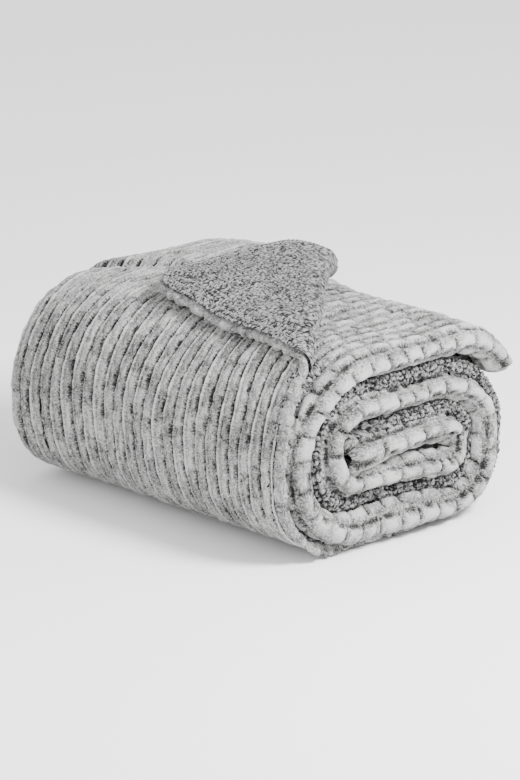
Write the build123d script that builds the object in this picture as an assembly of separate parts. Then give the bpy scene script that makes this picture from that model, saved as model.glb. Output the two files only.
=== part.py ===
from build123d import *
import os
from math import cos, sin, radians, hypot, pi

# A two-layer throw, folded in three across its width and rolled. Millimetres, roll axis along X.

# overall sizes
roll_length = 430.0  # folded width of the throw, the length of the roll
half_flat = 56.0  # half of the flat run on the top and bottom of each wrap
core_radius = 3.0  # inner radius of the first turn
core_start = 56.0  # how far the inner end reaches past the middle

# cloth
plush_thickness = 6.0
sherpa_thickness = 8.8
layer_gap = 0.3  # clearance between neighbouring layers and wraps
hem_width = 12.0
seam_width = 1.0

# folds and hems along the roll
near_hem_setback = 15.0  # the free side hem stops this far short of the near fold
far_hem_clearance = 0.3  # the tucked hem stops this far short of the far fold

# free outer end
end_setback = 67.3  # the end starts to bend this far inside the far side of the last turn
end_radius = 54.0  # bend of the overhanging end
end_drop_deg = 58.0
end_tip = 22.0
cover_end_deg = 50.0  # the outer layer ends at this angle round the bend
open_deg = 41.5  # where the outer wrap hinges, back from the top of the left turn
open_gap_deg = 0.5

# turned-back corner, in plan
crease_side_y = -122.0  # where the crease meets the side hem
crease_end_x = -54.0  # where the crease meets the end hem
corner_x = -91.0
corner_y = -83.0
corner_round = 28.0
crease_gap = 1.5  # clearance each side of the crease line
lift_gap = 0.5  # clearance under the turned-back corner

# levels through the folded stack, from the inner face out
layer = plush_thickness + sherpa_thickness
in_plush = (0.0, plush_thickness)
in_sherpa = (plush_thickness, layer)
mid_low = layer + layer_gap
mid_sherpa = (mid_low, mid_low + sherpa_thickness)
mid_plush = (mid_low + sherpa_thickness, mid_low + layer)
out_low = 2 * (layer + layer_gap)
out_sherpa = (out_low, out_low + sherpa_thickness)
out_plush = (out_low + sherpa_thickness, out_low + layer)
stack = out_low + layer
pitch = stack + layer_gap
far_side_y = half_flat + core_radius + pitch + stack  # outer face of the last turn
end_bend_y = far_side_y - end_setback
flap_low = stack + lift_gap
flap_plush = (flap_low, flap_low + plush_thickness)
flap_sherpa = (flap_low + plush_thickness, flap_low + layer)

# places along the roll
near = roll_length / 2
far = -roll_length / 2
near_in = near - plush_thickness
far_in = far + plush_thickness
near_core = near - layer
far_core = far + layer
side_edge = near - near_hem_setback
side_seam = side_edge - hem_width
side_cloth = side_seam - seam_width
tuck_edge = far_core + far_hem_clearance
tuck_seam = tuck_edge + hem_width
tuck_cloth = tuck_seam + seam_width


def turn(side, radius, start, stop):
    """One arc of the rolled path, by the side it bulges to."""
    if side == "right":
        return ("arc", (half_flat, 0.0), radius, start, stop)
    return ("arc", (-half_flat, pitch / 2), radius, start, stop)


def flat(y_start, y_stop, height, angle):
    return ("line", (y_start, height), (y_stop, height), angle)


def roll_path():
    """The inner face of the stack, from the inner end to the hinge of the outer wrap."""
    r1 = core_radius
    r2 = core_radius + pitch
    return [
        flat(-core_start, half_flat, r1, 90),
        turn("right", r1, 90, -90),
        flat(half_flat, -half_flat, -r1, -90),
        turn("left", r1 + pitch / 2, -90, -270),
        flat(-half_flat, half_flat, r2, 90),
        turn("right", r2, 90, -90),
        flat(half_flat, -half_flat, -r2, -90),
        turn("left", r2 + pitch / 2, -90, -270 + open_deg),
    ]


def outer_path():
    """The rest of the stack's inner face: over the top and down to the overhanging end."""
    r2 = core_radius + pitch
    top = core_radius + 2 * pitch
    bend = (end_bend_y, top - end_radius)
    last = 90 - end_drop_deg
    a = radians(last)
    tip = (bend[0] + end_radius * cos(a), bend[1] + end_radius * sin(a))
    tip_end = (tip[0] + end_tip * sin(a), tip[1] - end_tip * cos(a))
    return [
        turn("left", r2 + pitch / 2, 90 + open_deg - open_gap_deg, 90),
        flat(-half_flat, bend[0], top, 90),
        ("arc", bend, end_radius, 90, last),
        ("line", tip, tip_end, last),
    ]


def length(segment):
    if segment[0] == "line":
        (y0, z0), (y1, z1) = segment[1], segment[2]
        return hypot(y1 - y0, z1 - z0)
    return abs(radians(segment[4] - segment[3])) * (segment[2] + stack / 2)


def total(path):
    return sum(length(s) for s in path)


def cut(segment, a, b):
    """The stretch of one segment between the shares a and b of its length."""
    if segment[0] == "line":
        (y0, z0), (y1, z1) = segment[1], segment[2]
        p = (y0 + (y1 - y0) * a, z0 + (z1 - z0) * a)
        q = (y0 + (y1 - y0) * b, z0 + (z1 - z0) * b)
        return ("line", p, q, segment[3])
    s, e = segment[3], segment[4]
    return ("arc", segment[1], segment[2], s + (e - s) * a, s + (e - s) * b)


def part_of(path, start, stop):
    """The stretch of a path between two lengths from its beginning."""
    found = []
    done = 0.0
    for segment in path:
        size = length(segment)
        a = max(0.0, (start - done) / size)
        b = min(1.0, (stop - done) / size)
        if b - a > 1e-6:
            found.append(cut(segment, a, b))
        done += size
    return found


def at(centre, radius, angle):
    return (centre[0] + radius * cos(radians(angle)), centre[1] + radius * sin(radians(angle)))


def ends(segment, level):
    if segment[0] == "line":
        a = radians(segment[3])
        return [(p[0] + level * cos(a), p[1] + level * sin(a)) for p in segment[1:3]]
    radius = segment[2] + level
    return [at(segment[1], radius, segment[3]), at(segment[1], radius, segment[4])]


def edges(path, level):
    made = []
    for segment in path:
        p, q = ends(segment, level)
        if segment[0] == "line":
            made.append(Edge.make_line(p, q))
        else:
            radius = segment[2] + level
            middle = at(segment[1], radius, (segment[3] + segment[4]) / 2)
            made.append(Edge.make_three_point_arc(p, middle, q))
    return made


def band(path, levels, x_from, x_to):
    """A slab of cloth between two levels of the stack, along part of the roll."""
    low, high = levels
    first_low, first_high = ends(path[0], low)[0], ends(path[0], high)[0]
    last_low, last_high = ends(path[-1], low)[1], ends(path[-1], high)[1]
    loop = edges(path, low) + edges(path, high)
    loop += [Edge.make_line(first_low, first_high), Edge.make_line(last_low, last_high)]
    face = Face(Wire(loop))
    placed = Plane.YZ.offset(x_from) * face
    return Solid.extrude(placed, Vector(x_to - x_from, 0, 0))


def join(pieces):
    whole = pieces[0]
    for piece in pieces[1:]:
        whole = whole + piece
    return whole


def prism(points):
    """A tall block over a plan outline."""
    face = Face(Wire.make_polygon([(x, y) for x, y in points], close=True))
    return Pos(0, 0, -20) * Solid.extrude(face, Vector(0, 0, 260))


# paths of the sheets, seams and hems
inner_roll = roll_path()
outer_wrap = outer_path()
hem_end = hem_width
seam_end = hem_width + seam_width
start_hem_path = part_of(inner_roll, 0, hem_end)
start_seam_path = part_of(inner_roll, hem_end, seam_end)
roll_sheet_path = part_of(inner_roll, seam_end, total(inner_roll))
wrap_length = total(outer_wrap)
wrap_sheet_path = part_of(outer_wrap, 0, wrap_length - seam_end)
wrap_seam_path = part_of(outer_wrap, wrap_length - seam_end, wrap_length - hem_end)
wrap_hem_path = part_of(outer_wrap, wrap_length - hem_end, wrap_length)
cover_length = total(outer_wrap[:2]) + radians(cover_end_deg) * (end_radius + stack / 2)
cover_sheet_path = part_of(outer_wrap, 0, cover_length - seam_end)
cover_seam_path = part_of(outer_wrap, cover_length - seam_end, cover_length - hem_end)
cover_hem_path = part_of(outer_wrap, cover_length - hem_end, cover_length)

# plan of the crease: from the side hem on the left shoulder to the end hem on the right
crease_end_y = end_bend_y + (end_radius + stack) * sin(radians(cover_end_deg))
run = hypot(side_edge - crease_end_x, crease_end_y - crease_side_y)
along = ((crease_end_x - side_edge) / run, (crease_end_y - crease_side_y) / run)
across = (along[1], -along[0])


def plan(point, forward, sideways):
    x = point[0] + forward * along[0] + sideways * across[0]
    y = point[1] + forward * along[1] + sideways * across[1]
    return (x, y)


crease_a = (side_edge, crease_side_y)
crease_b = (crease_end_x, crease_end_y)


def turned_away():
    """The plan of the outer layer that the turned-back corner leaves bare."""
    return prism([
        plan(crease_a, -120, -crease_gap),
        plan(crease_b, 160, -crease_gap),
        plan(crease_b, 160, 400),
        plan(crease_a, -120, 400),
    ])


def flap_outline(inset):
    """The turned-back corner in plan, its two hemmed sides moved in by inset."""
    a = plan(crease_a, 0, -crease_gap)
    b = plan(crease_b, 0, -crease_gap)
    c = (corner_x, corner_y)
    ca = (a[0] - c[0], a[1] - c[1])
    cb = (b[0] - c[0], b[1] - c[1])
    la, lb = hypot(*ca), hypot(*cb)
    ca = (ca[0] / la, ca[1] / la)
    cb = (cb[0] / lb, cb[1] / lb)
    half = (ca[0] * cb[0] + ca[1] * cb[1] + 1) / 2
    sine_half = (1 - half) ** 0.5
    way = (ca[0] + cb[0], ca[1] + cb[1])
    size = hypot(*way)
    step = inset / sine_half / size
    move = (way[0] * step, way[1] * step)
    corners = [a, b, c]
    face = Face(Wire.make_polygon(corners, close=True))
    tip = min(face.vertices(), key=lambda v: hypot(v.X - c[0], v.Y - c[1]))
    face = face.fillet_2d(corner_round, [tip])
    return Pos(move[0], move[1], 0) * face


def tall(face):
    return Pos(0, 0, -20) * Solid.extrude(face, Vector(0, 0, 300))


def folded_plush(path, cover):
    """Three thicknesses of plush, joined round the near and far folds."""
    return [
        band(path, in_plush, far, near),
        band(path, mid_plush, tuck_cloth, near),
        band(path, (0, mid_plush[1]), near_in, near),
        band(cover, (0, stack), far, far_in),
    ]


def folded_sherpa(path, cover):
    return [
        band(path, in_sherpa, far_in, near_in),
        band(path, mid_sherpa, tuck_cloth, near_in),
        band(path, (plush_thickness, mid_sherpa[1]), near_core, near_in),
        band(cover, (plush_thickness, out_sherpa[1]), far_in, far_core),
    ]


def folded_edge(path):
    """The hem or seam across the two inner layers, joined round the near fold."""
    return [
        band(path, (0, layer), far, near),
        band(path, (mid_low, mid_plush[1]), tuck_edge, near),
        band(path, (0, mid_plush[1]), near_core, near),
    ]


def cross_edge(path):
    """The hem or seam across all three layers, joined round both folds."""
    return folded_edge(path) + [
        band(path, (out_low, stack), far, side_edge),
        band(path, (0, stack), far, far_core),
    ]


def side_strip(path, levels, x_from, x_to):
    return band(path, levels, x_from, x_to)


def make_roll():
    p = roll_sheet_path
    outer = (out_low, stack)
    middle = (mid_low, mid_plush[1])
    return {
        "plush_face_roll": join(folded_plush(p, p) + [band(p, out_plush, far, side_cloth)]),
        "sherpa_back_roll": join(folded_sherpa(p, p) + [band(p, out_sherpa, far_in, side_cloth)]),
        "side_hem_near_roll": side_strip(p, outer, side_seam, side_edge),
        "side_seam_near_roll": side_strip(p, outer, side_cloth, side_seam),
        "side_hem_far_roll": side_strip(p, middle, tuck_edge, tuck_seam),
        "side_seam_far_roll": side_strip(p, middle, tuck_seam, tuck_cloth),
        "start_hem": join(cross_edge(start_hem_path)),
        "start_seam": join(cross_edge(start_seam_path)),
    }


def make_wrap():
    p = wrap_sheet_path
    q = cover_sheet_path
    outer = (out_low, stack)
    middle = (mid_low, mid_plush[1])
    bare = turned_away()
    plush = join(folded_plush(p, q) + [band(q, out_plush, far, side_cloth) - bare])
    sherpa = join(folded_sherpa(p, q) + [band(q, out_sherpa, far_in, side_cloth) - bare])
    return {
        "plush_face_wrap": plush,
        "sherpa_back_wrap": sherpa,
        "side_hem_near_wrap": side_strip(q, outer, side_seam, side_edge) - bare,
        "side_seam_near_wrap": side_strip(q, outer, side_cloth, side_seam) - bare,
        "side_hem_far_wrap": side_strip(p, middle, tuck_edge, tuck_seam),
        "side_seam_far_wrap": side_strip(p, middle, tuck_seam, tuck_cloth),
        "end_hem_lower": join(folded_edge(wrap_hem_path)),
        "end_seam_lower": join(folded_edge(wrap_seam_path)),
        "end_hem_upper": band(cover_hem_path, outer, far, side_edge) - bare,
        "end_seam_upper": band(cover_seam_path, outer, far, side_edge) - bare,
    }


def make_corner():
    full = tall(flap_outline(0))
    in_hem = tall(flap_outline(hem_width))
    in_seam = tall(flap_outline(seam_end))
    path = outer_wrap
    whole = band(path, (flap_low, flap_sherpa[1]), far, near)
    piece = whole & full
    cloth = piece & in_seam
    plush_band = band(path, flap_plush, far, near)
    sherpa_band = band(path, flap_sherpa, far, near)
    return {
        "plush_face_corner": cloth & plush_band,
        "sherpa_back_corner": cloth & sherpa_band,
        "corner_hem": piece - in_hem,
        "corner_seam": (piece & in_hem) - in_seam,
    }


nodes = {}
nodes.update(make_roll())
nodes.update(make_wrap())
nodes.update(make_corner())

# origin at the bottom centre of the whole box
box = Compound(children=[Compound(n.solids()) for n in nodes.values()]).bounding_box()
middle_y = (box.min.Y + box.max.Y) / 2
shift = Pos(-(box.min.X + box.max.X) / 2, -middle_y, -box.min.Z)

os.makedirs("parts", exist_ok=True)
for name, shape in nodes.items():
    solids = shape.solids()
    placed = shift * (solids[0] if len(solids) == 1 else Compound(solids))
    export_step(placed, "parts/" + name + ".step")
    size = placed.bounding_box().size
    print(f"{name:22s} solids {len(solids)}  {size.X:.1f} {size.Y:.1f} {size.Z:.1f}  {placed.volume / 1000:.0f} cm3")

# measures used by the record
hinge = at((-half_flat, pitch / 2), core_radius + 1.5 * pitch + stack, 90 + open_deg)
print("box", box.size, "shift", -middle_y, -box.min.Z)
print("wrap hinge y z", hinge[0] - middle_y, hinge[1] - box.min.Z)
print("crease", crease_a[0], crease_a[1] - middle_y, crease_b[0], crease_b[1] - middle_y)
print("length of the inner layers", total(inner_roll) + wrap_length, "cover", total(inner_roll) + cover_length)
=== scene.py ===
import bmesh
import bpy
import numpy as np
from itertools import product
from math import ceil, cos, pi, radians, sin, sqrt
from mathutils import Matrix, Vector


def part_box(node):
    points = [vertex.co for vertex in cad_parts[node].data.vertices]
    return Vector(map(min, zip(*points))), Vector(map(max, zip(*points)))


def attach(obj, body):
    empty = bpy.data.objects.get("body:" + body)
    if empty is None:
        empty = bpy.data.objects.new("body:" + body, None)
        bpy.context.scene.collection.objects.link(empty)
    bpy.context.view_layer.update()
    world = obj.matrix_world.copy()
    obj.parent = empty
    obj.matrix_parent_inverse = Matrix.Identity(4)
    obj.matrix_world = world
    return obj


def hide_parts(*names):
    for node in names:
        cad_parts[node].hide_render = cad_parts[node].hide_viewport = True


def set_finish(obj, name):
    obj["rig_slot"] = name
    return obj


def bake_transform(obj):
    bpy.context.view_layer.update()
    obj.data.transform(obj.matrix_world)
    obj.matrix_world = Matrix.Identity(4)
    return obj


# A two-sided throw, folded in three and rolled, with one corner turned back.
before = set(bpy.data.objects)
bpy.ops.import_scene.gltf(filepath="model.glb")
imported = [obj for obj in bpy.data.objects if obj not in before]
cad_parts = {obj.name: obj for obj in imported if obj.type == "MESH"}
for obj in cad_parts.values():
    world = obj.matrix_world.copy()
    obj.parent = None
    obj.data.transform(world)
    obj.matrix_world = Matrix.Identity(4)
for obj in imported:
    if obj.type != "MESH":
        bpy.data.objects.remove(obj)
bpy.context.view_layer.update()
print("frame loaded")


def ramp(amount, start, stop):
    # 0 at start, 1 at stop and straight between
    return np.clip((amount - start) / (stop - start), 0, 1)


def ease(share):
    return share * share * (3 - 2 * share)


# the rolled path, in metres
roll = {
    "halfLength": 0.215,
    "halfFlat": 0.056,  # half of the flat run on each wrap
    "core": 0.003,  # radius of the first turn
    "layer": 0.0148,  # one plush and sherpa layer
    "layerGap": 0.0003,
    "endRun": 0.026,  # straight run before the overhanging end bends down
    "endRadius": 0.054,
    "endDrop": 58.0,
    "endTip": 0.022,
    "coverEnd": 50.0,  # where the outer layer ends, round that bend
    "openAt": 41.5,  # hinge of the outer wrap, back from the top of the left turn
    "sideHem": 0.200,  # the near side hem's edge
    "tuckHem": -0.1999,  # the hidden side hem's edge
}
stack = 3 * roll["layer"] + 2 * roll["layerGap"]
pitch = stack + roll["layerGap"]
midLevel = stack / 2
coverLevel = stack - roll["layer"] / 2  # middle of the outer layer
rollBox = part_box("plush_face_roll")
outerLeft = roll["halfFlat"] + roll["core"] + 1.5 * pitch + stack
axisY = float(rollBox[0][1]) + outerLeft
axisZ = float(rollBox[0][2]) + roll["core"] + pitch + stack


def makePath():
    flat, core = roll["halfFlat"], roll["core"]
    right, left = (flat, 0.0), (-flat, pitch / 2)
    second = core + pitch
    top = core + 2 * pitch
    bend = (flat + roll["endRun"], top - roll["endRadius"])
    last = 90 - roll["endDrop"]
    a = radians(last)
    tip = (bend[0] + roll["endRadius"] * cos(a), bend[1] + roll["endRadius"] * sin(a))
    tipEnd = (tip[0] + roll["endTip"] * sin(a), tip[1] - roll["endTip"] * cos(a))
    return [
        ("line", (-flat, core), (flat, core), 90),
        ("arc", right, core, 90, -90),
        ("line", (flat, -core), (-flat, -core), -90),
        ("arc", left, core + pitch / 2, -90, -270),
        ("line", (-flat, second), (flat, second), 90),
        ("arc", right, second, 90, -90),
        ("line", (flat, -second), (-flat, -second), -90),
        ("arc", left, second + pitch / 2, -90, -270),
        ("line", (-flat, top), (bend[0], top), 90),
        ("arc", bend, roll["endRadius"], 90, last),
        ("line", tip, tipEnd, last),
    ]


path = makePath()


def runs(level):
    # lengths of the path's stretches, measured at a level of the stack
    found = []
    for part in path:
        if part[0] == "line":
            (y0, z0), (y1, z1) = part[1], part[2]
            found.append(sqrt((y1 - y0) ** 2 + (z1 - z0) ** 2))
        else:
            found.append(abs(radians(part[4] - part[3])) * (part[2] + level))
    return np.concatenate([[0.0], np.cumsum(found)])


def lengthAt(index, share, level):
    marks = runs(level)
    return float(marks[index] + (marks[index + 1] - marks[index]) * share)


def relevel(b, fromLevel, toLevel):
    return np.interp(b, runs(fromLevel), runs(toLevel))


def place(b, n, level):
    # a point on the rolled path, b along it and n out from its inner face
    marks = runs(level)
    index = np.clip(np.searchsorted(marks, b, side="right") - 1, 0, len(path) - 1)
    share = (b - marks[index]) / (marks[index + 1] - marks[index])
    y = np.zeros_like(b)
    z = np.zeros_like(b)
    for i, part in enumerate(path):
        here = index == i
        t = share[here]
        if part[0] == "line":
            (y0, z0), (y1, z1) = part[1], part[2]
            a = radians(part[3])
            y[here] = y0 + (y1 - y0) * t + n[here] * cos(a)
            z[here] = z0 + (z1 - z0) * t + n[here] * sin(a)
        else:
            a = np.radians(part[3] + (part[4] - part[3]) * t)
            y[here] = part[1][0] + (part[2] + n[here]) * np.cos(a)
            z[here] = part[1][1] + (part[2] + n[here]) * np.sin(a)
    return y + axisY, z + axisZ


# the cloth's fold across its width
farTurn = stack / 2
nearTurn = (2 * roll["layer"] + roll["layerGap"]) / 2
farRound = 0.0180  # the far fold is squarer than a half circle
nearPuff = 0.0060  # the near folds swell past the cloth's line
farCentre = -roll["halfLength"] + farRound
nearCentre = roll["halfLength"] - nearTurn
farWall = 2 * (farTurn - farRound)
clothStops = np.cumsum([
    0.0,
    roll["sideHem"] - farCentre,
    pi * farRound + farWall,
    nearCentre - farCentre,
    pi * nearTurn,
    nearCentre - roll["tuckHem"],
])
farFold, farFoldEnd, nearFold, nearFoldEnd, clothWidth = clothStops[1:]


def profile(a, depth):
    # a across the cloth from its near side hem, depth below the plush face
    x = roll["sideHem"] - a
    n = stack - depth
    turn = (a > farFold) & (a <= farFoldEnd)
    gone = a - farFold
    wall = np.clip(gone - pi / 2 * farRound, 0, farWall)
    t = (gone - wall) / farRound
    inner = farRound - depth
    x = np.where(turn, farCentre - inner * np.sin(t), x)
    n = np.where(turn, 2 * farTurn - farRound - wall + inner * np.cos(t), n)
    third = (a > farFoldEnd) & (a <= nearFold)
    x = np.where(third, farCentre + (a - farFoldEnd), x)
    n = np.where(third, depth, n)
    turn = (a > nearFold) & (a <= nearFoldEnd)
    t = (a - nearFold) / nearTurn
    puff = nearPuff * np.sin(np.clip(t, 0, pi)) ** 2
    x = np.where(turn, nearCentre + (nearTurn - depth) * np.sin(t) + puff, x)
    n = np.where(turn, nearTurn - (nearTurn - depth) * np.cos(t), n)
    last = a > nearFoldEnd
    x = np.where(last, nearCentre - (a - nearFoldEnd), x)
    n = np.where(last, 2 * nearTurn - depth, n)
    return x, n


# the turned-back corner
corner = {
    "creaseAngle": 34.7,  # where the crease meets the side hem, back round the left turn
    "creaseTurn": 130.8,  # the crease's direction on the flat cloth, in degrees
    "bendRadius": 0.0068,
    "bendPuff": 0.0014,  # extra radius at the middle and end of the crease
    "puffSpan": 0.62,
    "settle": 0.055,  # how far the bend's height takes to settle
    "clear": 0.0006,  # gap under the corner once it has settled
    "wave": 0.0030,  # size of its waves
    "waveAlong": 26,
    "waveAway": 17,
    "waveStart": 0.6,
    "rise": 0.0032,  # the settled part stands this much higher
    "reach": 1.06,
    "pull": 0.013,  # how far the side hem is drawn in where it turns back
    "pullLength": 0.055,
    "round": 0.056,  # the cut corner's radius
}
creaseStart = (roll["sideHem"], lengthAt(7, 1 - corner["creaseAngle"] / 180, coverLevel))
coverEnd = lengthAt(9, roll["coverEnd"] / roll["endDrop"], coverLevel)
creaseAlong = (cos(radians(corner["creaseTurn"])), sin(radians(corner["creaseTurn"])))
creaseAcross = (creaseAlong[1], -creaseAlong[0])
creaseLength = (coverEnd - creaseStart[1]) / creaseAlong[1]


def creaseFrame(x, b):
    dx, db = x - creaseStart[0], b - creaseStart[1]
    return dx * creaseAlong[0] + db * creaseAlong[1], dx * creaseAcross[0] + db * creaseAcross[1]


def bendAt(t):
    share = np.clip(t / creaseLength, 0, 1)
    return corner["bendRadius"] + corner["bendPuff"] * np.sin(share * pi * corner["puffSpan"]) ** 2


def turnBack(x, b, n):
    # bends the cloth beyond the crease up and back over the roll
    t, beyond = creaseFrame(x, b)
    radius = bendAt(t)
    start = -radius * pi / 2
    over = beyond - start
    side, up = beyond.copy(), n.copy()
    off = n - coverLevel
    bent = (over > 0) & (over <= pi * radius)
    angle = over / radius
    side = np.where(bent, start + (radius - off) * np.sin(angle), side)
    up = np.where(bent, coverLevel + radius - (radius - off) * np.cos(angle), up)
    flat = over > pi * radius
    away = over - pi * radius
    restHeight = roll["layer"] + corner["clear"]
    fade = np.exp(-(away / corner["settle"]) ** 2)
    height = restHeight + (2 * radius - restHeight) * fade
    ripple = np.sin(t * corner["waveAlong"] + away * corner["waveAway"] + corner["waveStart"])
    wave = (corner["wave"] * ripple + corner["rise"]) * (1 - fade)
    side = np.where(flat, start - away * corner["reach"], side)
    up = np.where(flat, coverLevel + height + wave - off, up)
    newX = creaseStart[0] + t * creaseAlong[0] + side * creaseAcross[0]
    newB = creaseStart[1] + t * creaseAlong[1] + side * creaseAcross[1]
    return newX, newB, up


# how the inner end of the roll is tucked in
startTuck = {"length": 0.075, "setBack": 0.022, "reach": 0.030, "drop": 0.014}
# a wrinkle across the top near the far end; the spans are in metres
wrinkle = {
    "side": -0.046, "slant": 0.51, "height": 0.0075, "fall": 0.13, "sharp": 0.0030,
    "groove": 0.0040, "grooveOff": 0.003, "grooveWidth": 0.0045,
    "lengthSpan": (-0.095, -0.150), "heightSpan": (0.165, 0.190),
}
sag = {
    "squash": 0.990, "farDrop": 0.075, "backDrop": 0.015,  # shares of the height
    "farSpan": (-0.070, -0.215), "backSpan": (-0.020, 0.100),
    "bulge": 0.012, "bulgeSpan": (0.020, 0.140), "bulgeBelow": (0.190, 0.110),
    "right": 0.60, "rightSpan": (0.030, 0.120),  # how far the rounding under each side is let down
    "left": 0.45, "leftSpan": (-0.040, -0.130), "underBelow": (0.100, 0.0), "underPower": 0.7,
    "sink": 0.0115, "sinkPast": (0.0005, 0.0065), "sinkBelow": (0.050, 0.016), "sinkAbove": (0.006, 0.012),
    "fullHeight": 0.12, "floor": 0.0004, "floorShare": 0.7,
}
# unevenness along x, y and z: size, how fast it runs along each, and its start
sways = {
    "x": [(0.0030, (0, 21, 13), 0.4), (0.0014, (0, 47, -31), 1.1)],
    "y": [(0.0026, (15, 0, 11), 2.0), (0.0012, (39, 0, -19), 0.0)],
    "z": [(0.0030, (13, 17, 0), 0.9), (0.0013, (33, -27, 0), 0.5)],
}
# how the near ends of the layers stray along the roll
drift = {"waves": ((0.0028, 11, 0.7), (0.0016, 29, 2.0)), "span": (0.05, 0.20), "tuckSpan": (0.05, 0.15),
         "pullSpan": (0.02, 0.14), "outer": 0.030, "outerBlend": 0.003}


def swayBy(axis, x, y, z):
    return sum(size * np.sin(rate[0] * x + rate[1] * y + rate[2] * z + start) for size, rate, start in sways[axis])


def settleCloth(x, y, z):
    # the soft unevenness of a real bundle, the same for every layer
    height = np.clip(z / sag["fullHeight"], 0, 1)
    droop = ramp(x, *sag["farSpan"])
    backward = ramp(y, *sag["backSpan"])
    z = z * (sag["squash"] - sag["farDrop"] * droop ** 2 - sag["backDrop"] * backward * droop)
    under = ramp(z, *sag["underBelow"]) ** sag["underPower"]
    letDown = sum(sag[side] * ease(ramp(y, *sag[side + "Span"])) for side in ("right", "left"))
    y = y + sag["bulge"] * ramp(y, *sag["bulgeSpan"]) * ramp(z, *sag["bulgeBelow"])
    # past the side hem nothing holds the near folds up, so the lowest one sinks to the floor
    pastHem = ease(ramp(x - roll["sideHem"], *sag["sinkPast"]))
    z = z - sag["sink"] * pastHem * ramp(z, *sag["sinkBelow"]) * ramp(z, *sag["sinkAbove"])
    z = z * (1 - under * letDown)
    dx, dy, dz = [swayBy(axis, x, y, z) for axis in "xyz"]
    x, y, z = x + dx * (x / roll["halfLength"]), y + dy * height, z + dz * height
    # the layers under the wrinkle have slipped
    beyond = (y - wrinkle["side"]) - wrinkle["slant"] * (x + roll["halfLength"])
    where = ramp(x, *wrinkle["lengthSpan"]) * ramp(z, *wrinkle["heightSpan"])
    step = 1 / (1 + np.exp(np.clip(-beyond / wrinkle["sharp"], -30, 30)))
    raised = wrinkle["height"] * step * np.exp(-np.clip(beyond, 0, 1) / wrinkle["fall"])
    cut = wrinkle["groove"] * np.exp(-((beyond + wrinkle["grooveOff"]) / wrinkle["grooveWidth"]) ** 2)
    z = z + where * (raised - cut)
    # nothing goes below the floor: low points are pressed flat just above it
    floor = sag["floor"]
    pressed = floor + np.log1p(np.exp(np.clip((z - floor) / floor, -30, 30))) * floor * sag["floorShare"]
    z = np.where(z < 2 * floor, pressed, z)
    return np.stack([x, y, z], axis=1)


def onCloth(a, b, depth, level, turned=False):
    x, n = profile(a, depth)
    if turned:
        x, b, n = turnBack(x, b, n)
    wander = sum(size * np.sin(b * rate + start) for size, rate, start in drift["waves"])
    x = x + wander * ramp(x, *drift["span"])
    tucked = np.clip(1 - b / startTuck["length"], 0, 1) ** 2
    outer = ramp(n, drift["outer"], drift["outer"] + drift["outerBlend"])
    x = x - startTuck["setBack"] * tucked * outer * ramp(x, *drift["tuckSpan"])
    onTop = ramp(n, drift["outer"], drift["outer"] + 2 * drift["outerBlend"])
    atCrease = np.exp(-((b - creaseStart[1]) / corner["pullLength"]) ** 2) * onTop
    x = x - corner["pull"] * atCrease * ramp(x, *drift["pullSpan"])
    y, z = place(b, n, level)
    y = y - startTuck["reach"] * tucked
    z = z - startTuck["drop"] * tucked * np.clip(1 - n / drift["outer"], 0, 1)
    return settleCloth(x, y, z)


print("fold and roll worked out")


# pile
tuft = {
    "width": 0.0159,
    "length": 0.0262,
    "height": 0.0054,
    "foldWiden": 0.34,  # the tufts spread on the near fold
    "foldHalf": 0.022,
    "waver": 0.0030,  # how far the ribs stray
    "rowWaver": 0.0060,
    "ribWave": 0.0007,
    "stagger": 0.35,
    "tilt": 0.09,
    "ridge": 0.115,  # the rest are shares of a rib's width, a tuft's length or the pile's height
    "body": (0.50, 0.22, 0.10),
    "groove": (0.32, 0.20),
    "grooveAt": (0.19, 0.085),
    "dashStart": (0.08, 0.22),
    "dashLength": (0.36, 0.30),
    "dashWidth": (0.30, 0.28),
    "dashDepth": (0.34, 0.44),
    "shut": (0.25, 0.95),
    "thin": (0.034, 0.030),
    "swell": (0.26, 0.16),
    "crest": (1.02, 0.06),
    "tufting": 0.30,
    "fuzz": 0.20,
    "base": 0.0034,  # depth of the pile's foot below the plush face
    "foot": 0.2,
}
curl = {"size": 0.0044, "height": 0.0019, "warp": 0.0016, "jitter": 0.7, "deep": 0.62, "fuzz": 0.22}


def scatter(i, j, seed):
    value = np.sin(i * 127.1 + j * 311.7 + seed * 74.7) * 43758.5453
    return value - np.floor(value)


def smoothNoise(a, b, seed):
    i, j = np.floor(a), np.floor(b)
    u, v = a - i, b - j
    u, v = ease(u), ease(v)
    low = scatter(i, j, seed) * (1 - u) + scatter(i + 1, j, seed) * u
    high = scatter(i, j + 1, seed) * (1 - u) + scatter(i + 1, j + 1, seed) * u
    return low * (1 - v) + high * v


foldMiddle = (nearFold + nearFoldEnd) / 2


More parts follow.
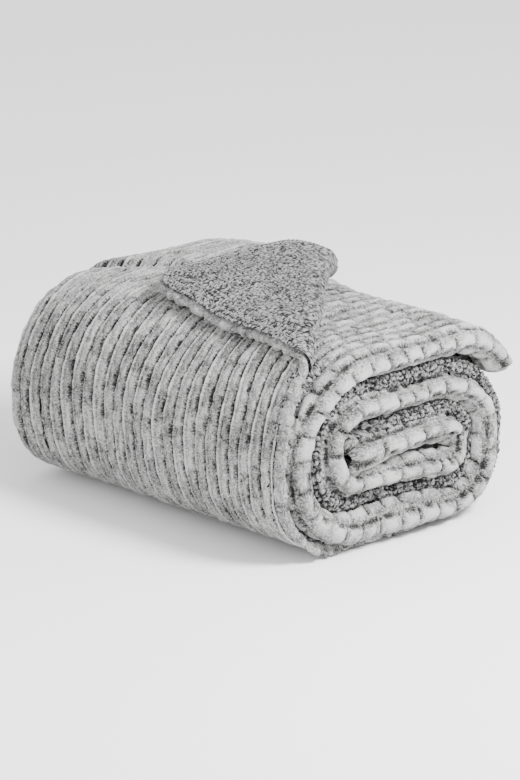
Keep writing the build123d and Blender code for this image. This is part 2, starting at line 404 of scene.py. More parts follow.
def tuftPile(a, b, breaks):
    # ribs that run round the roll: a crisp ridge, then a fuzzy band of staggered tufts
    a = a - foldMiddle
    spread = tuft["foldHalf"]
    a = a - tuft["foldWiden"] * spread * np.tanh(a / spread) + 0.5 * tuft["width"]
    a = a + tuft["waver"] * (smoothNoise(a / 0.05, b / 0.06, 15) - 0.5)
    b = b + tuft["rowWaver"] * (smoothNoise(a / 0.010, b / 0.03, 14) - 0.5)
    a = a + tuft["ribWave"] * np.sin(b * 31 + np.floor(a / tuft["width"]) * 2.1)
    column = np.floor(a / tuft["width"])
    u = a / tuft["width"] - column
    shifted = b / tuft["length"] + 0.5 * (column % 2) + tuft["stagger"] * scatter(column, 0 * column, 3)
    row = np.floor(shifted)
    v = shifted - row

    def drawn(key, seed, at=row):
        # a value of its own for each tuft: a base and a random share
        return tuft[key][0] + tuft[key][1] * scatter(column, at, seed)

    chance = scatter(column, row, 5)
    v = np.clip(v + tuft["tilt"] * np.sin(pi * u) * (scatter(column, row, 16) - 0.5) * (1 - v) * v * 4, 0, 1)
    off = np.minimum(u, 1 - u)
    ridge = np.exp(-(off / np.where(u < 0.5, tuft["ridge"] * 0.7, tuft["ridge"])) ** 2)
    body, crown, uneven = tuft["body"]
    body = body + crown * np.sin(pi * np.clip(u, 0, 1)) ** 0.8 + uneven * (chance - 0.5)
    grooveAt, grooveWidth = tuft["grooveAt"]
    groove = drawn("groove", 12) * np.exp(-((u - grooveAt) / grooveWidth) ** 2)
    # a short dip beside each ridge, which the colour paints dark as its shadow
    dashStart = drawn("dashStart", 6)
    dashEnd = dashStart + drawn("dashLength", 7)
    lengthwise = np.clip(np.minimum(v - dashStart, dashEnd - v) / 0.07, 0, 1)
    widthwise = np.clip((drawn("dashWidth", 8) - u) / 0.12, 0, 1) * (u > 0.07)
    dash = lengthwise * widthwise * drawn("dashDepth", 9)
    # the gap between one tuft and the next along the rib, painted dark as shade by the colour
    edge = np.minimum(v, 1 - v)
    seam = np.floor(shifted + 0.5)
    inRib = np.clip(np.minimum(u - 0.12, 0.93 - u) / 0.15, 0, 1)
    gap = 0.9 * breaks * drawn("shut", 10, seam) * np.exp(-(edge / drawn("thin", 17, seam)) ** 2) * inRib
    swellBase, swellMore = tuft["swell"]
    swell = breaks * (swellBase + swellMore * chance) * (1 - (2 * v - 1) ** 2) * np.sin(pi * u)
    onFold = np.clip((breaks - 0.3) * 3, 0, 1)
    crestBase, crestMore = tuft["crest"]
    crest = ridge * (crestBase + crestMore * chance) * (1 - 0.35 * onFold) - 0.3 * gap
    pile = np.maximum(body + swell - groove * (1 - 0.4 * onFold) - dash * (1 - 0.15 * onFold) - gap, crest)
    tufting = tuft["tufting"] * (smoothNoise(a / 0.0040, b / 0.0070, 1) - 0.5)
    fuzz = tuft["fuzz"] * (smoothNoise(a / 0.0019, b / 0.0032, 2) - 0.5)
    tone = chance * 0.6 + 0.4 * smoothNoise(a / 0.045, b / 0.06, 4)
    return pile + tufting + fuzz, tone


def curlPile(a, b):
    # small curls packed side by side: the nearest of a jittered set of centres
    best = np.full_like(a, 9.0)
    second = np.full_like(a, 9.0)
    tone = np.zeros_like(a)
    warpA = a + curl["warp"] * (smoothNoise(a / 0.006, b / 0.006, 11) - 0.5)
    warpB = b + curl["warp"] * (smoothNoise(a / 0.006, b / 0.006, 12) - 0.5)
    gridA, gridB = warpA / curl["size"], warpB / curl["size"]
    i, j = np.floor(gridA), np.floor(gridB)
    for di, dj in product((-1, 0, 1), repeat=2):
        ci, cj = i + di, j + dj
        px = ci + (1 - curl["jitter"]) / 2 + curl["jitter"] * scatter(ci, cj, 21)
        py = cj + (1 - curl["jitter"]) / 2 + curl["jitter"] * scatter(ci, cj, 22)
        away = np.sqrt((gridA - px) ** 2 + (gridB - py) ** 2)
        nearer = away < best
        second = np.where(nearer, best, np.minimum(second, away))
        tone = np.where(nearer, scatter(ci, cj, 23), tone)
        best = np.where(nearer, away, best)
    dome = np.clip((second - best) * 1.5, 0, 1) ** 0.8
    deep = np.clip((scatter(i, j, 25) - curl["deep"]) * 6, 0, 1) * np.clip(1 - 1.1 * dome, 0, 1)
    fuzz = curl["fuzz"] * (smoothNoise(a / 0.0015, b / 0.0015, 24) - 0.5)
    # the low pile between curls and in sunken curls is painted dark as shade by the colour
    return 0.30 + 0.70 * dome * (0.8 + 0.2 * tone) - 0.5 * deep + fuzz, tone


# making pieces
pieces = {}
stripEnd = 0.004  # a strip or thread narrows to a point over this length
stripMap = 0.03  # width of a strip on its own map


def finishMesh(name, bm, slotName):
    mesh = bpy.data.meshes.new(name)
    bm.to_mesh(mesh)
    bm.free()
    piece = bpy.data.objects.new(name, mesh)
    bpy.context.scene.collection.objects.link(piece)
    mesh.polygons.foreach_set("use_smooth", np.ones(len(mesh.polygons), dtype=bool))
    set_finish(piece, slotName)
    pieces[name] = piece
    return piece


def clothGrid(name, slotName, aRange, bRange, step, shape, cuts=(), flip=False):
    # a flat cut of cloth, moved into its folded place by shape(a, b)
    bm = bmesh.new()
    width, length = aRange[1] - aRange[0], bRange[1] - bRange[0]
    across, along = max(1, ceil(width / step[0])), max(1, ceil(length / step[1]))
    bmesh.ops.create_grid(bm, x_segments=across, y_segments=along, size=0.5)
    bmesh.ops.scale(bm, vec=(width, length, 1), verts=bm.verts)
    middle = (aRange[0] + width / 2, bRange[0] + length / 2, 0)
    bmesh.ops.translate(bm, vec=middle, verts=bm.verts)
    for point, normal in cuts:
        everything = list(bm.verts) + list(bm.edges) + list(bm.faces)
        bmesh.ops.bisect_plane(bm, geom=everything, dist=1e-6, plane_co=(*point, 0),
                               plane_no=(*normal, 0), clear_outer=True)
    if flip:
        bmesh.ops.reverse_faces(bm, faces=bm.faces)
    layer = bm.loops.layers.uv.new("flatCloth")
    for face in bm.faces:
        for loop in face.loops:
            loop[layer].uv = loop.vert.co.xy
    piece = finishMesh(name, bm, slotName)
    mesh = piece.data
    co = np.empty(len(mesh.vertices) * 3)
    mesh.vertices.foreach_get("co", co)
    a, b = co[0::3].copy(), co[1::3].copy()
    placed, height, tone = shape(a, b)
    mesh.vertices.foreach_set("co", placed.astype(np.float32).ravel())
    # the pile height also sets the colour, which paints its dips as shade and its crests as highlight
    for key, amounts in (("pile", height), ("tone", tone)):
        layer = mesh.attributes.new(key, "FLOAT", "POINT")
        layer.data.foreach_set("value", amounts.astype(np.float32))
    mesh.update()
    return piece


def sweep(name, slotName, length, step, around, shape, pileAt=None):
    # a closed strip or thread: shape(t, angle, end) gives its surface, end narrows it to a point
    bm = bmesh.new()
    along = max(3, ceil(length / step))
    bmesh.ops.create_grid(bm, x_segments=around, y_segments=along, size=0.5)
    layer = bm.loops.layers.uv.new("flatCloth")
    for face in bm.faces:
        for loop in face.loops:
            loop[layer].uv = ((loop.vert.co.x + 0.5) * stripMap, (loop.vert.co.y + 0.5) * length)
    bm.verts.ensure_lookup_table()
    co = np.array([v.co for v in bm.verts])
    t = (co[:, 1] + 0.5) * length
    angle = (co[:, 0] + 0.5) * 2 * pi
    ends = np.minimum(t, length - t)
    end = np.sqrt(np.clip(1 - (1 - np.clip(ends / stripEnd, 0, 1)) ** 2, 0, 1))
    placed = shape(t, angle, end)
    pileKey = bm.verts.layers.float.new("shown")
    amounts = pileAt(t) if pileAt else np.full_like(t, 0.72)
    amounts = amounts + 0.22 * (smoothNoise(t / 0.004, angle, 43) - 0.5)
    for vert, point, amount in zip(bm.verts, placed, amounts):
        vert.co = point
        vert[pileKey] = amount
    bmesh.ops.remove_doubles(bm, verts=bm.verts, dist=1e-6)
    bmesh.ops.recalc_face_normals(bm, faces=bm.faces)
    pile = np.array([v[pileKey] for v in bm.verts], dtype=np.float32)
    piece = finishMesh(name, bm, slotName)
    for key, amounts in (("pile", pile), ("tone", np.full_like(pile, 0.5))):
        layer = piece.data.attributes.new(key, "FLOAT", "POINT")
        layer.data.foreach_set("value", amounts)
    return piece


def plushAt(level, turned=False, coarse=False, breaks=0.22, sink=0.0):
    def shape(a, b):
        pile, tone = (np.full_like(a, 0.7), np.full_like(a, 0.5)) if coarse else tuftPile(a, b, breaks)
        depth = tuft["base"] + sink - tuft["height"] * (pile - tuft["foot"])
        return onCloth(a, b, depth, level, turned), pile, tone
    return shape


def sherpaAt(level, turned=False, coarse=False):
    def shape(a, b):
        pile, tone = (np.full_like(a, 0.5), np.full_like(a, 0.5)) if coarse else curlPile(a, b)
        depth = roll["layer"] - 0.0016 + curl["height"] * (pile - 0.4)
        return onCloth(a, b, depth, level, turned), pile, tone
    return shape


endClose = {"length": 0.010, "depth": 0.011, "foldReach": 0.045}


def foldedPlush(level):
    # plump on the fold itself, closing over the inner end, flatter away from it
    def shape(a, b):
        onFold = np.clip(1 - np.abs(a - foldMiddle) / endClose["foldReach"], 0, 1)
        pile, tone = tuftPile(a, b, 0.72 + 0.26 * np.clip(onFold * 2, 0, 1))
        close = np.clip(1 - b / endClose["length"], 0, 1) ** 2
        depth = tuft["base"] - tuft["height"] * (pile - tuft["foot"]) + endClose["depth"] * close
        # painted shade: the pile is coloured darker where the fold closes over the inner end
        return onCloth(a, b, depth, level), pile * (1 - 0.6 * close), tone
    return shape


# where the pieces start and end along the roll
fold = {"nearStrip": 0.034, "farStrip": 0.034, "hemWidth": 0.012}
splitIndex, splitShare = 7, 0.5  # the leftmost line of the outer wrap
coverFrom = (4, 0.02)  # the outer face shows from here on, at rest or with the outer wrap lifted


def span(start, stop, level):
    return lengthAt(start[0], start[1], level), lengthAt(stop[0], stop[1], level)


pathStart, pathSplit, pathEnd = (0, 0.0), (splitIndex, splitShare), (10, 1.0)
hemWidth = fold["hemWidth"]
innerLevel = nearTurn
clothIn = hemWidth  # the sheets start inside their hems
tuckUnder = 0.0040  # the plush runs on a little way under its hem
foldA = (nearFold - fold["nearStrip"], nearFoldEnd + fold["nearStrip"])
farA = (farFold - fold["farStrip"], farFoldEnd + fold["farStrip"])
bodySplit = {"Roll": (pathStart, pathSplit), "Wrap": (pathSplit, pathEnd)}


def bRangeOf(part, level, startTrim=0.0, endTrim=0.0):
    low, high = span(*bodySplit[part], level)
    return (low + (startTrim if part == "Roll" else 0.0), high - (endTrim if part == "Wrap" else 0.0))


def creaseCut(offset, keepBeyond):
    # cuts the flat cloth along a line beside the crease; a runs from the side hem
    point = (creaseStart[0] + creaseAcross[0] * offset, creaseStart[1] + creaseAcross[1] * offset)
    flatPoint = (roll["sideHem"] - point[0], point[1])
    normal = (-creaseAcross[0], creaseAcross[1])
    if keepBeyond:
        normal = (-normal[0], -normal[1])
    return flatPoint, normal


# how far apart the vertices are, across the cloth and along it
fine, middling = (0.0010, 0.0027), (0.0016, 0.0027)
foldStep, curlStep = (0.0012, 0.0022), (0.0014, 0.0015)
plain = (0.009, 0.009)
coverOver = 0.020  # the outer layer runs on this far under the crease


def endAt(a):
    # the overhanging end runs further on the lower layers, so its edge slants round the far fold
    cover = relevel(coverEnd, coverLevel, midLevel)
    tip = span(pathStart, pathEnd, midLevel)[1]
    share = np.clip((a - farFold) / (farFoldEnd - farFold), 0, 1)
    return cover + (tip - cover) * ease(share)


def farPlush(part):
    plainShape = plushAt(midLevel)

    def shape(a, b):
        if part == "Roll":
            return plainShape(a, b)
        low, high = bRangeOf("Wrap", midLevel, 0, hemWidth - tuckUnder)
        stretched = (endAt(a) - hemWidth + tuckUnder - low) / (high - low)
        return plainShape(a, low + (b - low) * stretched)
    return shape


# plush
coverA = (hemWidth - tuckUnder, farA[0])
for part in ("Roll", "Wrap"):
    hidden = part == "Roll"  # the middle layer shows only on the outer wrap
    nearA = foldA if hidden else (foldA[0], clothWidth - hemWidth)
    coverRange, cuts = span(coverFrom, pathSplit, coverLevel), []
    if part == "Wrap":
        coverRange = (span(pathSplit, pathEnd, coverLevel)[0], coverEnd - hemWidth + tuckUnder)
        cuts = [creaseCut(-coverOver, False)]
    layout = {
        "Cover": (coverA, coverRange, fine, plushAt(coverLevel), cuts),
        "FarFold": (farA, bRangeOf(part, midLevel, clothIn, hemWidth - tuckUnder), foldStep, farPlush(part)),
        "NearFold": (nearA, bRangeOf(part, innerLevel, 0.002, hemWidth - tuckUnder), foldStep,
                     foldedPlush(innerLevel)),
        "Middle": ((farA[1], foldA[0]), bRangeOf(part, 0.0, clothIn, hemWidth), plain if hidden else middling,
                   plushAt(0.0, coarse=hidden, sink=0.0010)),
    }
    for key, cut in layout.items():
        clothGrid(f"plush{key}{part}", "plush", *cut, flip=True)
clothGrid("plushUnderRoll", "plush", (foldA[1], clothWidth - hemWidth), bRangeOf("Roll", 2 * nearTurn, clothIn),
          plain, plushAt(2 * nearTurn, coarse=True), flip=True)
clothGrid("plushCoverInside", "plush", coverA, (clothIn, span(coverFrom, pathSplit, coverLevel)[0]),
          plain, plushAt(coverLevel, coarse=True), flip=True)
print("plush laid")

# sherpa
edgeReach = 0.046  # how far in the fine strip of curls reaches from the near side hem
edgeBead = {
    "radius": 0.0068,
    "out": -0.0010,
    "depth": 0.0156,
    "grain": 0.78,  # the curls are larger here
    "lift": 2.1,
    "swell": 0.0016,
    "tucked": 0.013,
    # painted shade: the curly edge is coloured a little darker than the rest of the curls
    "pile": 0.94,
}
hideFrom, hideBy = lengthAt(5, 0.45, coverLevel), lengthAt(6, 0.10, coverLevel)


def hiddenEdge(b):
    # 1 where the outer wrap's hem closes over its curls, 0 on the inner wraps
    return ease(ramp(b, hideFrom, hideBy))


def sherpaEdge(level):
    # the curly edge swells out under the near side hem, rounded over
    def shape(a, b):
        turn = edgeBead["radius"]
        s = a - edgeReach  # from the inner end out, round the edge and back
        t = np.clip(s / turn, 0, pi)
        back = np.clip(s - pi * turn, 0, None)
        pile, tone = curlPile(a * edgeBead["grain"], b * edgeBead["grain"])
        reach = turn + curl["height"] * edgeBead["lift"] * (pile - 0.45)
        reach = reach + edgeBead["swell"] * (smoothNoise(a / 0.012, b / 0.012, 31) - 0.5)
        rounded = s > 0
        out = edgeBead["out"] + edgeBead["tucked"] * hiddenEdge(b)
        across = np.where(rounded, out - reach * np.sin(t) + back, out - s)
        depth = edgeBead["depth"] - turn + np.where(rounded, reach * np.cos(t), reach)
        return onCloth(across, b, depth, level), pile * edgeBead["pile"], tone
    return shape


edgeA = (0, edgeReach + pi * edgeBead["radius"] + 0.006)
for part in ("Roll", "Wrap"):
    edgeLow, edgeHigh = bRangeOf(part, coverLevel, clothIn / 2, 0)
    low, high = bRangeOf(part, coverLevel, clothIn, hemWidth)
    cuts = []
    if part == "Wrap":
        edgeHigh = creaseStart[1] + 0.014  # ends just past the crease
        high = coverEnd - hemWidth
        cuts = [creaseCut(-coverOver, False)]
    tuckedB = bRangeOf(part, 2 * nearTurn, clothIn, hemWidth)
    layout = {
        "Edge": (edgeA, (edgeLow, edgeHigh), curlStep, sherpaEdge(coverLevel)),
        "Cover": ((edgeReach - 0.004, farFold), (low, high), plain, sherpaAt(coverLevel, coarse=True), cuts),
        "Middle": ((farFold, nearFoldEnd), bRangeOf(part, 0.0, clothIn, hemWidth), plain,
                   sherpaAt(0.0, coarse=True)),
        "Under": ((nearFoldEnd, clothWidth - hemWidth), tuckedB, plain, sherpaAt(2 * nearTurn, coarse=True)),
    }
    for key, cut in layout.items():
        clothGrid(f"sherpa{key}{part}", "sherpa", *cut)

# the turned-back corner, cut from the flat cloth and folded over
cutEdge = 0.0042  # the curls reach out over the hem, this far from the cut edge
cornerOver = 0.022  # the corner's cloth starts this far inside the crease
roundCuts = 12  # straight cuts that round the corner off
roundCentre = (corner["round"], coverEnd - corner["round"])


def cornerCuts(inset):
    cuts = [creaseCut(-cornerOver, True), ((inset, 0), (-1, 0)), ((0, coverEnd - inset), (0, 1))]
    reach = corner["round"] - inset
    for k in range(1, roundCuts):
        angle = radians(90 + 90 * k / roundCuts)
        point = (roundCentre[0] + reach * cos(angle), roundCentre[1] + reach * sin(angle))
        cuts.append((point, (cos(angle), sin(angle))))
    return cuts


flapA = (0, creaseStart[0] + 0.06)
flapB = (creaseStart[1] - 0.03, coverEnd)
clothGrid("sherpaCorner", "sherpa", flapA, flapB, (0.0012, 0.0012), sherpaAt(coverLevel, True),
          cornerCuts(cutEdge))
clothGrid("plushCorner", "plush", flapA, flapB, (0.0020, 0.0026), plushAt(coverLevel, True),
          cornerCuts(hemWidth - tuckUnder), flip=True)
print("sherpa laid")


# hems
hemShape = {
    "halfWidth": 0.0064,
    "halfThick": 0.0050,
    "flatThick": 0.0036,
    "square": 0.8,  # under 1 squares the section off
    "puckerEvery": 0.011,
    "pucker": 0.06,
    "fuzz": 0.55,
    "fuzzSteps": [(1.0, 0.0060, 2.2, 9, 41), (0.5, 0.0028, 4.5, 20, 44)],  # share, length, rate, start, seed
    "close": 0.0040,  # drawn in where it closes over the curls
    "pinch": 0.26,
    "wobble": 0.07,
    "gap": 0.0002,
    "overlap": 0.004,  # each length of hem runs on into the next
}

# the turned hem's middle on the flat cloth: up the near side, round the corner, along the end
hemInset = hemWidth / 2
hemReach = corner["round"] - hemInset
hemSide = coverEnd - corner["round"]
hemRound = pi / 2 * hemReach
hemTotal = hemSide + hemRound + (farFold - corner["round"])


def squared(wave):
    # a squared-off sine or cosine
    return np.sign(wave) * np.abs(wave) ** hemShape["square"]


def hemPoint(t):
    # t from the near side hem's start; gives a, b and the outward direction on the cloth
    arc = (t > hemSide) & (t <= hemSide + hemRound)
    end = t > hemSide + hemRound
    angle = np.where(arc, (t - hemSide) / hemReach, np.where(end, pi / 2, 0.0))
    a = np.where(end, corner["round"] + (t - hemSide - hemRound),
                 corner["round"] - hemReach * np.cos(angle))
    b = np.where(end, coverEnd - hemInset,
                 np.where(arc, hemSide + hemReach * np.sin(angle), t))
    return a, b, -np.cos(angle), np.sin(angle)


creaseHem = creaseStart[1] - 0.013  # the side hem leaves the outer wrap here


def pinchAt(t):
    # the ribs end at the hem, so it is nipped in between tufts
    v = t / tuft["length"] + 0.06 * np.sin(t * 70)
    return np.exp(-((v - np.round(v)) / 0.050) ** 2) * (0.35 + 0.65 * scatter(np.round(v), 0 * v, 18))


def coverHem(name, start, stop, turned):
    def shape(t, angle, end):
        along = start + t
        a, b, outA, outB = hemPoint(along)
        soft = 1 + hemShape["pucker"] * np.sin(along * 2 * pi / hemShape["puckerEvery"]) * np.cos(angle - 1.2)
        for share, length, rate, first, seed in hemShape["fuzzSteps"]:
            tufts = smoothNoise(along / length, np.cos(angle) * rate + first, seed) - 0.5
            soft = soft + share * hemShape["fuzz"] * tufts
        sideways = squared(np.cos(angle)) * hemShape["halfWidth"] * end * soft
        closed = hiddenEdge(b) * np.clip((creaseHem - along) / 0.05, 0, 1)
        a = a - hemShape["close"] * closed
        full = np.maximum(ramp(along, creaseHem - 0.05, creaseHem - 0.01), 0.9 * closed)
        thick = hemShape["flatThick"] + (hemShape["halfThick"] - hemShape["flatThick"]) * full
        up = squared(np.sin(angle)) * thick * end * soft
        depth = thick + hemShape["gap"] - up
        pinch = 1 - hemShape["pinch"] * pinchAt(along)
        pinch = pinch + hemShape["wobble"] * np.sin(along * 151) * np.sin(along * 67)
        sideways, depth = sideways * pinch, (depth - thick) * pinch + thick
        return onCloth(a + outA * sideways, b + outB * sideways, depth, coverLevel, turned)

    def shown(t):
        # how light the pile looks along the hem: painted shade where it is nipped in, and random variation
        return 0.68 - 0.28 * pinchAt(start + t) + 0.40 * (smoothNoise(t / 0.008, 0 * t, 42) - 0.5)
    return sweep(name, "hem", stop - start, 0.0014, 26, shape, shown)


hemBack = hemSide + hemRound + (-creaseLength * creaseAlong[0] + 0.030 - corner["round"])
splitB = lengthAt(splitIndex, splitShare, coverLevel)
hemOver = hemShape["overlap"]
coverHem("hemNearRoll", 0.006, splitB, False)
coverHem("hemNearWrap", splitB - hemOver, creaseHem + hemOver, False)
coverHem("hemCorner", creaseHem, hemBack, True)
coverHem("hemEndUpper", hemBack - hemOver, hemTotal + hemOver, False)


def shyOf(a):
    # the inner end's hem draws back from the near fold
    return np.clip(1.6 - np.abs(a - foldMiddle) / 0.035, 0, 1)


def widthHem(name, aRange, atEnd):
    # a hem that runs across the width, at the inner start or at the overhanging end
    def shape(t, angle, end):
        a = aRange[0] + t
        centre = endAt(a) - hemWidth / 2 if atEnd else hemWidth / 2
        sideways = squared(np.cos(angle)) * hemShape["halfWidth"] * end
        up = np.sin(angle) * hemShape["halfThick"] * 1.15 * end
        soft = 1 + 0.05 * np.sin(t * 2 * pi / hemShape["puckerEvery"])
        shy = 0.0 if atEnd else shyOf(a)
        return onCloth(a, centre + sideways * (1 - 0.5 * shy) + 0.004 * shy,
                       0.0072 - up * soft * (1 - 0.65 * shy), midLevel)
    return sweep(name, "hem", aRange[1] - aRange[0], 0.003, 16, shape)


widthHem("hemStart", (hemOver, clothWidth - hemOver), False)
widthHem("hemEndLower", (farFold - hemOver, clothWidth - hemOver), True)


def tuckedHem(name, part):
    low, high = bRangeOf(part, 2 * nearTurn, 0.006, 0.006)

    def shape(t, angle, end):
        sideways = np.cos(angle) * hemShape["halfWidth"] * end
        up = np.sin(angle) * hemShape["halfThick"] * end
        a = clothWidth - hemWidth / 2 + sideways
        return onCloth(a, low + t, 0.0074 - up, 2 * nearTurn)
    return sweep(name, "hem", high - low, 0.006, 10, shape)


for part in ("Roll", "Wrap"):
    tuckedHem(f"hemTucked{part}", part)

# stitching
stitch = {"thread": 0.00050, "every": 0.0052, "dip": 0.0008, "under": 0.0012, "sunk": 0.0024, "turned": 0.0138}


def stitchRow(name, length, line, step=0.0011):
    def shape(t, angle, end):
        a, b, rise, turned, level = line(t)
        sideways = np.cos(angle) * stitch["thread"] * end
        dip = stitch["dip"] * np.cos(t * 2 * pi / stitch["every"])
        depth = rise - dip - np.sin(angle) * stitch["thread"] * end
        return onCloth(a + sideways, b + sideways * 0.3, depth, level, turned)
    return sweep(name, "thread", length, step, 5, shape)


def hemStitch(start, stop, turned, rise):
    def line(t):
        a, b, outA, outB = hemPoint(start + t)
        inward = hemWidth / 2 + 0.0002
        return a - outA * inward, b - outB * inward, rise, turned, coverLevel
    return stop - start, line


stitchRow("stitchNearRoll", *hemStitch(0.008, splitB, False, stitch["sunk"]))
stitchRow("stitchNearWrap", *hemStitch(splitB, creaseHem, False, stitch["sunk"]))
stitchRow("stitchCorner", *hemStitch(creaseHem + hemOver, hemBack - hemOver, True, stitch["turned"]))
stitchRow("stitchEndUpper", *hemStitch(hemBack, hemTotal - hemOver, False, stitch["under"]))


def acrossStitch(atEnd, aRange):
    def line(t):
        a = aRange[0] + t
        b = endAt(a) - hemWidth if atEnd else np.full_like(a, hemWidth)
        shy = 0 if atEnd else shyOf(a)
        return a, b, stitch["under"] + 0.006 * shy, False, midLevel
    return aRange[1] - aRange[0], line


stitchRow("stitchStart", *acrossStitch(False, (0.006, clothWidth - 0.006)), 0.0016)
stitchRow("stitchEndLower", *acrossStitch(True, (farFold, clothWidth - 0.006)), 0.0016)
for part in ("Roll", "Wrap"):
    low, high = bRangeOf(part, 2 * nearTurn, 0.008, 0.008)

    def tuckedLine(t, low=low):
        return np.full_like(t, clothWidth - hemWidth), low + t, stitch["under"], False, 2 * nearTurn
    stitchRow(f"stitchTucked{part}", high - low, tuckedLine, 0.002)
print("hems and stitching laid")


# materials
class value:
    def __init__(self, build, socket):
        self.build, self.socket = build, socket

    def maths(self, operation, other, swap=False):
        pair = [other, self] if swap else [self, other]
        return self.build.add("ShaderNodeMath", {"operation": operation}, {0: pair[0], 1: pair[1]})

    def __add__(self, other):
        return self.maths("ADD", other)

    def __radd__(self, other):
        return self.maths("ADD", other, True)

    def __sub__(self, other):
        return self.maths("SUBTRACT", other)

    def __rsub__(self, other):
        return self.maths("SUBTRACT", other, True)

    def __mul__(self, other):
        return self.maths("MULTIPLY", other)

    def __rmul__(self, other):
        return self.maths("MULTIPLY", other, True)


class finish:
    def __init__(self, name):
        self.material = bpy.data.materials.new(name)
        self.material.use_nodes = True
        self.tree = self.material.node_tree
        self.tree.nodes.clear()

    def add(self, kind, settings=None, inputs=None, output=0):
        node = self.tree.nodes.new(kind)
        for key, setting in (settings or {}).items():
            if key == "stops":
                greys = node.color_ramp.elements
                while len(greys) < len(setting):
                    greys.new(0.5)
                for element, (position, grey) in zip(greys, setting):
                    element.position = position
                    element.color = (grey, grey, grey, 1)
            else:
                setattr(node, key, setting)
        for key, entry in (inputs or {}).items():
            if isinstance(entry, value):
                self.tree.links.new(entry.socket, node.inputs[key])
            else:
                node.inputs[key].default_value = entry
        return value(self, node.outputs[output]) if len(node.outputs) else None

    def mix(self, factor, first, second):
        return self.add("ShaderNodeMix", {"data_type": "RGBA"}, {0: factor, 6: first, 7: second}, output=2)

    def between(self, amount, low, high, atLow, atHigh):
        return self.add("ShaderNodeMapRange", None, {0: amount, 1: low, 2: high, 3: atLow, 4: atHigh})

    def noise(self, coordinates, scale, detail=3.0, rough=0.55):
        return self.add("ShaderNodeTexNoise", None,
                        {"Vector": coordinates, "Scale": scale, "Detail": detail, "Roughness": rough})

    def surface(self, inputs):
        shader = self.add("ShaderNodeBsdfPrincipled", None, inputs)
        self.add("ShaderNodeOutputMaterial", None, {"Surface": shader})
        return self.material


def shade(grey, warm=0.0):
    return (grey * (1 + warm), grey, grey * (1 - warm), 1)


# the pile's colour runs from painted shade in its dips (low) to painted highlight on its crests (high), for plush
# and curls alike
plushLook = {"low": 0.010, "mid": 0.20, "high": 0.43, "warm": 0.010, "pile": 0.84, "fibre": 2.7, "clump": 0.9,
             "patch": 0.04, "tone": 0.38, "crestNoise": 0.45, "pitShadeAmount": 0.0, "pitShadeScale": 300.0,
             "stops": [(0.06, 0.0), (0.34, 0.20), (0.62, 0.50), (0.90, 1.0)]}
sherpaLook = {"low": 0.004, "mid": 0.18, "high": 0.34, "warm": 0.002, "pile": 0.70, "fibre": 1.2, "clump": 0.9,
              "patch": 0.02, "tone": 0.16, "crestNoise": 0.6, "pitShadeAmount": 1.0, "pitShadeScale": 290.0,
              "stops": [(0.12, 0.0), (0.36, 0.34), (0.56, 0.72), (0.95, 1.0)]}
hemLook = dict(plushLook, low=0.02, mid=0.21, high=0.42, tone=0.2)
threadLook = dict(hemLook, low=0.16, mid=0.26, high=0.38, fibre=0.5, clump=0.3)


def pileMaterial(name, look, fineScale, sheen, bumpDepth):
    make = finish(name)
    flat = make.add("ShaderNodeUVMap", {"uv_map": "flatCloth"})
    pile = make.add("ShaderNodeAttribute", {"attribute_name": "pile"}, output=2)
    tuftTone = make.add("ShaderNodeAttribute", {"attribute_name": "tone"}, output=2)
    fibre = make.noise(flat, fineScale, 3.0, 0.75)
    clump = make.noise(flat, fineScale * 0.36, 3.0, 0.65)
    brushed = make.noise(flat, 26.0, 2.0, 0.5)
    loose = make.between(pile, 0.45, 1.0, 1.0, look["crestNoise"])
    grain = (fibre - 0.5) * look["fibre"] + (clump - 0.5) * look["clump"] + (tuftTone - 0.5) * look["tone"]
    # painted shade and highlight: low pile is coloured dark, high pile light
    level = pile * look["pile"] + grain * loose
    greys = make.add("ShaderNodeValToRGB", {"stops": look["stops"]}, {0: level})
    tone = make.mix(greys, shade(look["low"], look["warm"]), shade(look["high"], look["warm"]))
    # painted shade: dark noise spots stand for the shadowed pits between the curls
    if look["pitShadeAmount"]:
        pitShadeNoise = make.noise(flat, look["pitShadeScale"], 1.0, 0.5)
        paintedPitShade = make.between(pitShadeNoise, 0.39, 0.46, look["pitShadeAmount"], 0.0)
        tone = make.mix(paintedPitShade, tone, shade(look["low"] * 2, 0))
    worn = make.between(brushed, 0.35, 0.65, 0.0, 1.0)
    toned = make.mix(worn * look["patch"], tone, shade(look["mid"], look["warm"]))
    bumpHeight = fibre * 0.6 + clump * 0.4
    bump = make.add("ShaderNodeBump", None, {"Strength": 0.9, "Distance": bumpDepth, "Height": bumpHeight})
    return make.surface({"Base Color": toned, "Roughness": 0.92, "Normal": bump, "Sheen Weight": sheen,
                         "Sheen Roughness": 0.5, "Sheen Tint": shade(0.9), "Specular IOR Level": 0.15})


looks = {
    "plush": pileMaterial("greyPlush", plushLook, 520.0, 0.12, 0.0022),
    "sherpa": pileMaterial("greySherpa", sherpaLook, 480.0, 0.05, 0.0020),
    "hem": pileMaterial("hemPlush", hemLook, 520.0, 0.12, 0.0020),
    "thread": pileMaterial("greyThread", threadLook, 1800.0, 0.0, 0.0002),
}
for piece in pieces.values():
    piece.data.materials.append(looks[piece["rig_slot"]])
print("materials made")

# bodies and what each piece replaces
for name, piece in pieces.items():
    if name.endswith("Corner"):
        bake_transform(piece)
    elif name.endswith("Wrap") or name in ("hemEndUpper", "hemEndLower", "stitchEndUpper", "stitchEndLower"):
        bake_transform(piece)
    else:
        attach(piece, "roll")

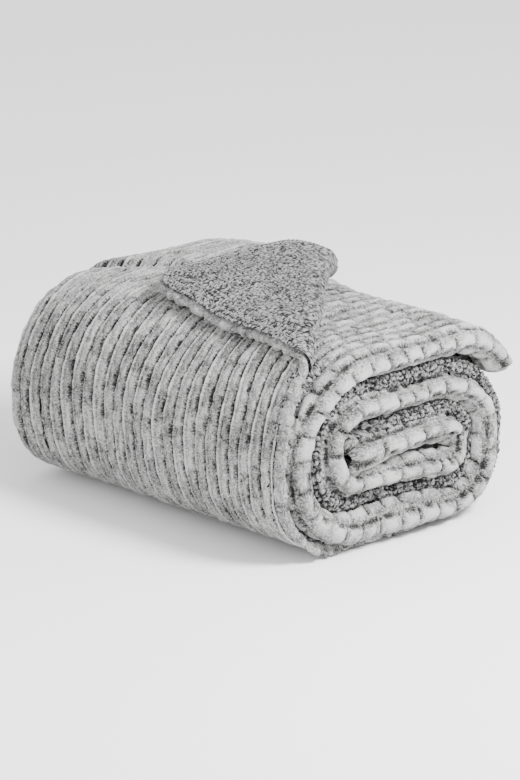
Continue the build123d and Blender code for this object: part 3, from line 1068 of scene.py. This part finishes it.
standsFor = {
    "plushCoverRoll": ["plush_face_roll"],
    "sherpaEdgeRoll": ["sherpa_back_roll"],
    "hemNearRoll": ["side_hem_near_roll"],
    "stitchNearRoll": ["side_seam_near_roll"],
    "hemTuckedRoll": ["side_hem_far_roll"],
    "stitchTuckedRoll": ["side_seam_far_roll"],
    "hemStart": ["start_hem"],
    "stitchStart": ["start_seam"],
    "plushCoverWrap": ["plush_face_wrap"],
    "sherpaEdgeWrap": ["sherpa_back_wrap"],
    "hemNearWrap": ["side_hem_near_wrap"],
    "stitchNearWrap": ["side_seam_near_wrap"],
    "hemTuckedWrap": ["side_hem_far_wrap"],
    "stitchTuckedWrap": ["side_seam_far_wrap"],
    "hemEndLower": ["end_hem_lower"],
    "stitchEndLower": ["end_seam_lower"],
    "hemEndUpper": ["end_hem_upper"],
    "stitchEndUpper": ["end_seam_upper"],
    "plushCorner": ["plush_face_corner"],
    "sherpaCorner": ["sherpa_back_corner"],
    "hemCorner": ["corner_hem"],
    "stitchCorner": ["corner_seam"],
}
for name, nodes in standsFor.items():
    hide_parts(*nodes)

# each cut of cloth's unfolded map is read, and for the corner and outer wrap its faces' loops too; nothing further
# is done with them
for name, piece in pieces.items():
    if not name.startswith(("plush", "sherpa")):
        continue
    mesh = piece.data
    flatUv = np.empty(len(mesh.loops) * 2)
    mesh.uv_layers["flatCloth"].data.foreach_get("uv", flatUv)
    flatUv = flatUv.reshape(-1, 2)
    if name.endswith("Corner") or name.endswith("CoverWrap"):
        loopStart = np.empty(len(mesh.polygons), dtype=int)
        loopTotal = np.empty(len(mesh.polygons), dtype=int)
        mesh.polygons.foreach_get("loop_start", loopStart)
        mesh.polygons.foreach_get("loop_total", loopTotal)

# floor, light and camera
studio = {"floor": 0.97, "world": 1.45, "key": 95.0, "fill": 10.0}


def emptyMesh(name):
    bm = bmesh.new()
    bmesh.ops.create_grid(bm, x_segments=1, y_segments=1, size=6.0)
    mesh = bpy.data.meshes.new(name)
    bm.to_mesh(mesh)
    bm.free()
    item = bpy.data.objects.new(name, mesh)
    bpy.context.scene.collection.objects.link(item)
    return item


floor = emptyMesh("studioFloor")
floorLook = finish("studioFloor").surface({"Base Color": shade(studio["floor"]), "Roughness": 0.9})
floor.data.materials.append(floorLook)
world = bpy.data.worlds.new("studioWorld")
bpy.context.scene.world = world
world.use_nodes = True
world.node_tree.nodes["Background"].inputs[0].default_value = (1, 1, 1, 1)
world.node_tree.nodes["Background"].inputs[1].default_value = studio["world"]


def softLight(name, place, aim, size, power):
    lamp = bpy.data.lights.new(name, "AREA")
    lamp.shape = "DISK"
    lamp.size = size
    lamp.energy = power
    item = bpy.data.objects.new(name, lamp)
    bpy.context.scene.collection.objects.link(item)
    item.location = place
    item.rotation_euler = (Vector(aim) - Vector(place)).to_track_quat("-Z", "Y").to_euler()


softLight("keyLight", (1.3, 0.25, 1.5), (0, 0, 0.1), 0.7, studio["key"])
softLight("fillLight", (0.3, -1.6, 0.8), (0, 0, 0.1), 1.2, studio["fill"])

camera = {"around": 45.0, "up": 18.6, "away": 8.0, "rise": 0.1075, "across": 0.003, "lens": 346.0}
around, raised = radians(camera["around"]), radians(camera["up"])
backward = Vector((sin(around) * cos(raised), -cos(around) * cos(raised), sin(raised)))
sideways = Vector((cos(around), sin(around), 0))
upward = backward.cross(sideways)
aim = upward * camera["rise"] + sideways * camera["across"]
cameraData = bpy.data.cameras.new("camera")
cameraData.sensor_width = 36.0
cameraData.sensor_fit = "AUTO"
cameraData.lens = camera["lens"]
cameraData.clip_end = 40
cameraObject = bpy.data.objects.new("camera", cameraData)
bpy.context.scene.collection.objects.link(cameraObject)
cameraObject.location = aim + backward * camera["away"]
cameraObject.rotation_euler = (-backward).to_track_quat("-Z", "Y").to_euler()
bpy.context.scene.camera = cameraObject
